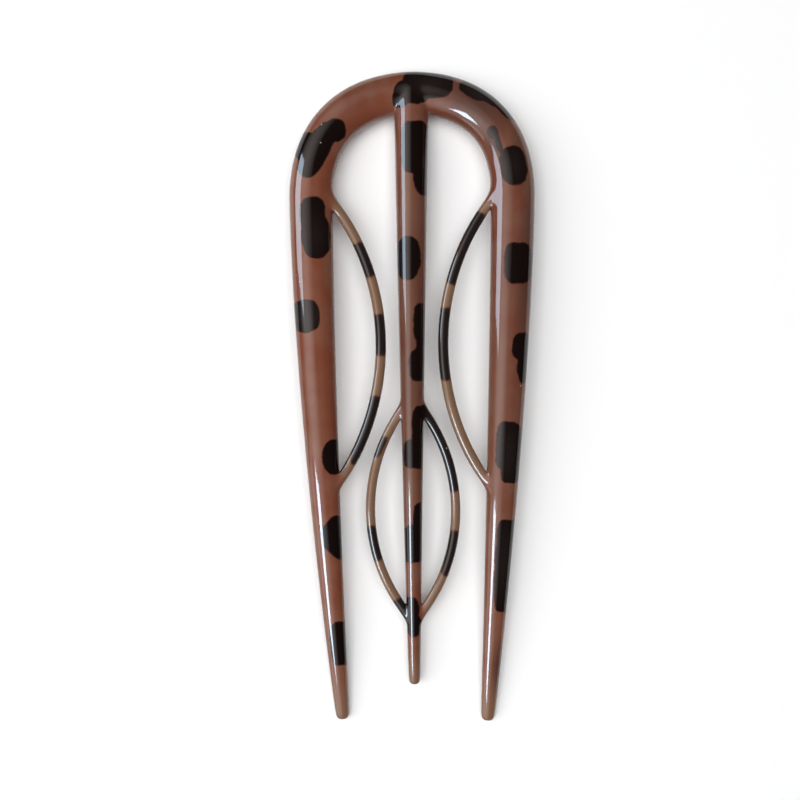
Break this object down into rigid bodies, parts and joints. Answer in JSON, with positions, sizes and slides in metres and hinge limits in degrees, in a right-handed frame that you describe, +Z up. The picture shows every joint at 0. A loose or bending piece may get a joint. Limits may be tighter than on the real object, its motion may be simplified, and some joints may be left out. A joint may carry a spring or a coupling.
{
  "type": "french hair pin",
  "caption": "Arched hair pin with tapering outer prongs, a centre prong, an inner bow on each side and a leaf-shaped bow low on the centre prong, moulded whole.",
  "frame": {"origin": "on the surface that the pin lies on, under the middle of its outline", "axes": "+X across the pin, +Y from the prong tips to the crown, +Z up out of its arched front"},
  "size_m": [0.047, 0.125, 0.009],
  "materials": {
    "acetate": "polished translucent brown with near-black tortoiseshell spots"
  },
  "bodies": {
    "root": {"hair_pin": "acetate"}
  },
  "joints": []
}
